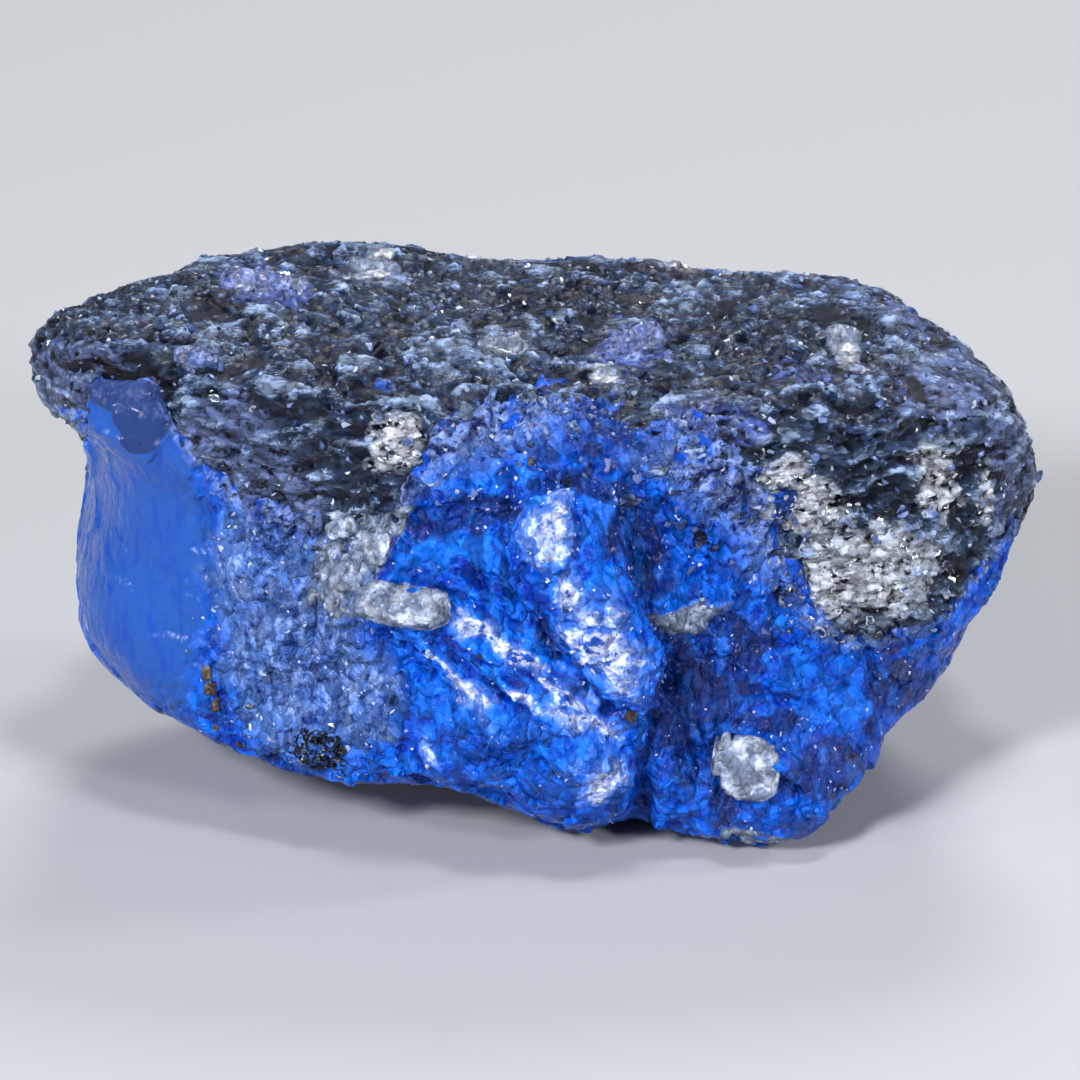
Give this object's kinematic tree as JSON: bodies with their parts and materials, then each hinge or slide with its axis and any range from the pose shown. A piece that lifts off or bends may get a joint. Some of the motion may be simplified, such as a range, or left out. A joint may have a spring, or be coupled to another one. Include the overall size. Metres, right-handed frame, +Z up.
{
  "type": "rough tanzanite",
  "caption": "Small broken piece of deep blue, partly see-through tanzanite crystal with grey graphite matrix grown over its top, lying on its own flat spot",
  "frame": {"origin": "middle of the box around the stone, at its base, where the flat spot rests", "axes": "+X along the stone's length with the matrix ledge at -X, -Y towards the side the picture shows, +Z up"},
  "size_m": [0.012, 0.0078, 0.0062],
  "materials": {
    "tanzanite": "glassy broken crystal, deep blue, see-through in places and milky in others",
    "matrix": "fine-grained dark slate grey graphite rock with glints",
    "graphite": "silvery flakes",
    "calcite": "milky white grains"
  },
  "bodies": {
    "root": {"tanzanite_stone": "tanzanite"}
  },
  "joints": []
}
